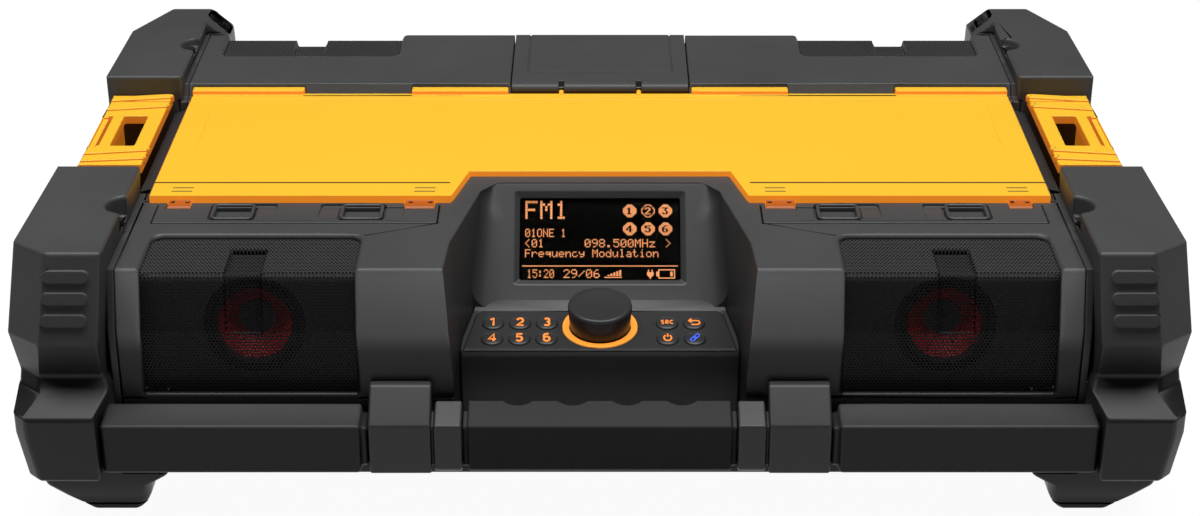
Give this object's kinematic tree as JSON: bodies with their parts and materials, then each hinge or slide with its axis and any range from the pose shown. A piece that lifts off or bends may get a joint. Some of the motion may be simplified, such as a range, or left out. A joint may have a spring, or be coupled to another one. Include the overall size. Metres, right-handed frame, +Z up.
{
  "type": "jobsite radio",
  "caption": "Stackable jobsite radio with corner bumpers, a hinged storage lid, a recessed control console, mesh speaker grilles, a carry handle and side clips.",
  "frame": {"origin": "on the ground under the middle of the case", "axes": "+X to the right of someone facing the controls, +Y towards the rear, +Z up"},
  "size_m": [0.6626, 0.44, 0.173],
  "materials": {
    "case_plastic": "fine grained dark grey moulding",
    "yellow_plastic": "satin yellow moulding",
    "rubber_black": "soft black rubber",
    "steel_pin": "plain steel",
    "mesh_black": "black powder coat",
    "speaker_frame": "black paint",
    "speaker_magnet": "ferrite grey",
    "cone_red": "dull red cone",
    "console_plastic": "fine grained charcoal",
    "keypad_plastic": "satin charcoal plate",
    "key_rubber": "soft dark key with a backlit legend",
    "knob_plastic": "charcoal knob",
    "ring_amber": "translucent amber light ring",
    "window_clear": "smoked clear window",
    "display_black": "black display",
    "board_green": "circuit board",
    "supply_metal": "folded sheet",
    "tray_plastic": "dark grey liner"
  },
  "bodies": {
    "case": {"battery_dock": "tray_plastic", "bumper_screws": "steel_pin", "control_console": "console_plastic", "corner_feet": "case_plastic", "display_module": "display_black", "display_window": "window_clear", "encoder_body": "display_black", "foot_pads": "rubber_black", "front_left_bumper": "case_plastic", "front_left_grille": "mesh_black", "front_right_bumper": "case_plastic", "front_right_grille": "mesh_black", "handle_brackets": "case_plastic", "handle_core": "steel_pin", "handle_grip": "rubber_black", "hinge_strips": "case_plastic", "keypad_plate": "keypad_plastic", "left_side_frame": "case_plastic", "lid_hinge_pins": "steel_pin", "light_ring": "ring_amber", "lower_bars": "case_plastic", "lower_tub": "case_plastic", "main_board": "board_green", "mains_inlet": "display_black", "port_panel": "display_black", "power_supply": "supply_metal", "rear_left_bumper": "case_plastic", "rear_left_grille": "mesh_black", "rear_right_bumper": "case_plastic", "rear_right_grille": "mesh_black", "right_side_frame": "case_plastic", "side_latch_pins": "steel_pin", "speaker_frames": "speaker_frame", "speaker_magnets": "speaker_magnet", "speaker_surrounds": "rubber_black", "storage_tray": "tray_plastic", "strip_sockets": "case_plastic", "top_deck": "case_plastic"},
    "lid": {"lid": "yellow_plastic", "lid_gasket": "rubber_black", "lid_latch_pin": "steel_pin"},
    "lid_latch": {"lid_latch": "case_plastic"},
    "left_clip": {"left_side_latch": "yellow_plastic"},
    "right_clip": {"right_side_latch": "yellow_plastic"},
    "encoder_shaft": {"encoder_shaft": "steel_pin"},
    "knob": {"knob": "knob_plastic"},
    "preset_key_1": {"preset_key_1": "key_rubber"},
    "preset_key_2": {"preset_key_2": "key_rubber"},
    "preset_key_3": {"preset_key_3": "key_rubber"},
    "source_key": {"source_key": "key_rubber"},
    "return_key": {"return_key": "key_rubber"},
    "preset_key_4": {"preset_key_4": "key_rubber"},
    "preset_key_5": {"preset_key_5": "key_rubber"},
    "preset_key_6": {"preset_key_6": "key_rubber"},
    "power_key": {"power_key": "key_rubber"},
    "pairing_key": {"pairing_key": "key_rubber"},
    "front_right_cone": {"front_right_cone": "cone_red"},
    "front_left_cone": {"front_left_cone": "cone_red"},
    "rear_right_cone": {"rear_right_cone": "cone_red"},
    "rear_left_cone": {"rear_left_cone": "cone_red"}
  },
  "joints": [
    {"name": "lid_hinge", "type": "hinge", "parent": "case", "child": "lid", "pos_m": [0, -0.0915, 0.1515], "axis": [1, 0, 0], "range_deg": [0, 95]},
    {"name": "lid_latch_hinge", "type": "hinge", "parent": "lid", "child": "lid_latch", "pos_m": [0, 0.0882, 0.1588], "axis": [1, 0, 0], "range_deg": [0, 90]},
    {"name": "right_clip_hinge", "type": "hinge", "parent": "case", "child": "right_clip", "pos_m": [0.3145, 0.0145, 0.098], "axis": [0, 1, 0], "range_deg": [0, 60]},
    {"name": "left_clip_hinge", "type": "hinge", "parent": "case", "child": "left_clip", "pos_m": [-0.3145, 0.0145, 0.098], "axis": [0, -1, 0], "range_deg": [0, 60]},
    {"name": "knob_press", "type": "slide", "parent": "case", "child": "encoder_shaft", "axis": [0, 0.1219, -0.9925], "range_m": [0, 0.0008], "stiffness_N_per_m": 1500},
    {"name": "knob_turn", "type": "hinge", "parent": "encoder_shaft", "child": "knob", "pos_m": [0, -0.1326, 0.09964], "axis": [0, -0.1219, 0.9925], "continuous": true},
    {"name": "preset_key_1_press", "type": "slide", "parent": "case", "child": "preset_key_1", "axis": [0, 0.1219, -0.9925], "range_m": [0, 0.001], "stiffness_N_per_m": 400},
    {"name": "preset_key_2_press", "type": "slide", "parent": "case", "child": "preset_key_2", "axis": [0, 0.1219, -0.9925], "range_m": [0, 0.001], "stiffness_N_per_m": 400},
    {"name": "preset_key_3_press", "type": "slide", "parent": "case", "child": "preset_key_3", "axis": [0, 0.1219, -0.9925], "range_m": [0, 0.001], "stiffness_N_per_m": 400},
    {"name": "source_key_press", "type": "slide", "parent": "case", "child": "source_key", "axis": [0, 0.1219, -0.9925], "range_m": [0, 0.001], "stiffness_N_per_m": 400},
    {"name": "return_key_press", "type": "slide", "parent": "case", "child": "return_key", "axis": [0, 0.1219, -0.9925], "range_m": [0, 0.001], "stiffness_N_per_m": 400},
    {"name": "preset_key_4_press", "type": "slide", "parent": "case", "child": "preset_key_4", "axis": [0, 0.1219, -0.9925], "range_m": [0, 0.001], "stiffness_N_per_m": 400},
    {"name": "preset_key_5_press", "type": "slide", "parent": "case", "child": "preset_key_5", "axis": [0, 0.1219, -0.9925], "range_m": [0, 0.001], "stiffness_N_per_m": 400},
    {"name": "preset_key_6_press", "type": "slide", "parent": "case", "child": "preset_key_6", "axis": [0, 0.1219, -0.9925], "range_m": [0, 0.001], "stiffness_N_per_m": 400},
    {"name": "power_key_press", "type": "slide", "parent": "case", "child": "power_key", "axis": [0, 0.1219, -0.9925], "range_m": [0, 0.001], "stiffness_N_per_m": 400},
    {"name": "pairing_key_press", "type": "slide", "parent": "case", "child": "pairing_key", "axis": [0, 0.1219, -0.9925], "range_m": [0, 0.001], "stiffness_N_per_m": 400},
    {"name": "front_right_cone_stroke", "type": "slide", "parent": "case", "child": "front_right_cone", "axis": [0, -0.9903, 0.1392], "range_m": [-0.0015, 0.0015], "stiffness_N_per_m": 1500},
    {"name": "front_left_cone_stroke", "type": "slide", "parent": "case", "child": "front_left_cone", "axis": [0, -0.9903, 0.1392], "range_m": [-0.0015, 0.0015], "stiffness_N_per_m": 1500},
    {"name": "rear_right_cone_stroke", "type": "slide", "parent": "case", "child": "rear_right_cone", "axis": [0, 0.9903, 0.1392], "range_m": [-0.0015, 0.0015], "stiffness_N_per_m": 1500},
    {"name": "rear_left_cone_stroke", "type": "slide", "parent": "case", "child": "rear_left_cone", "axis": [0, 0.9903, 0.1392], "range_m": [-0.0015, 0.0015], "stiffness_N_per_m": 1500}
  ]
}
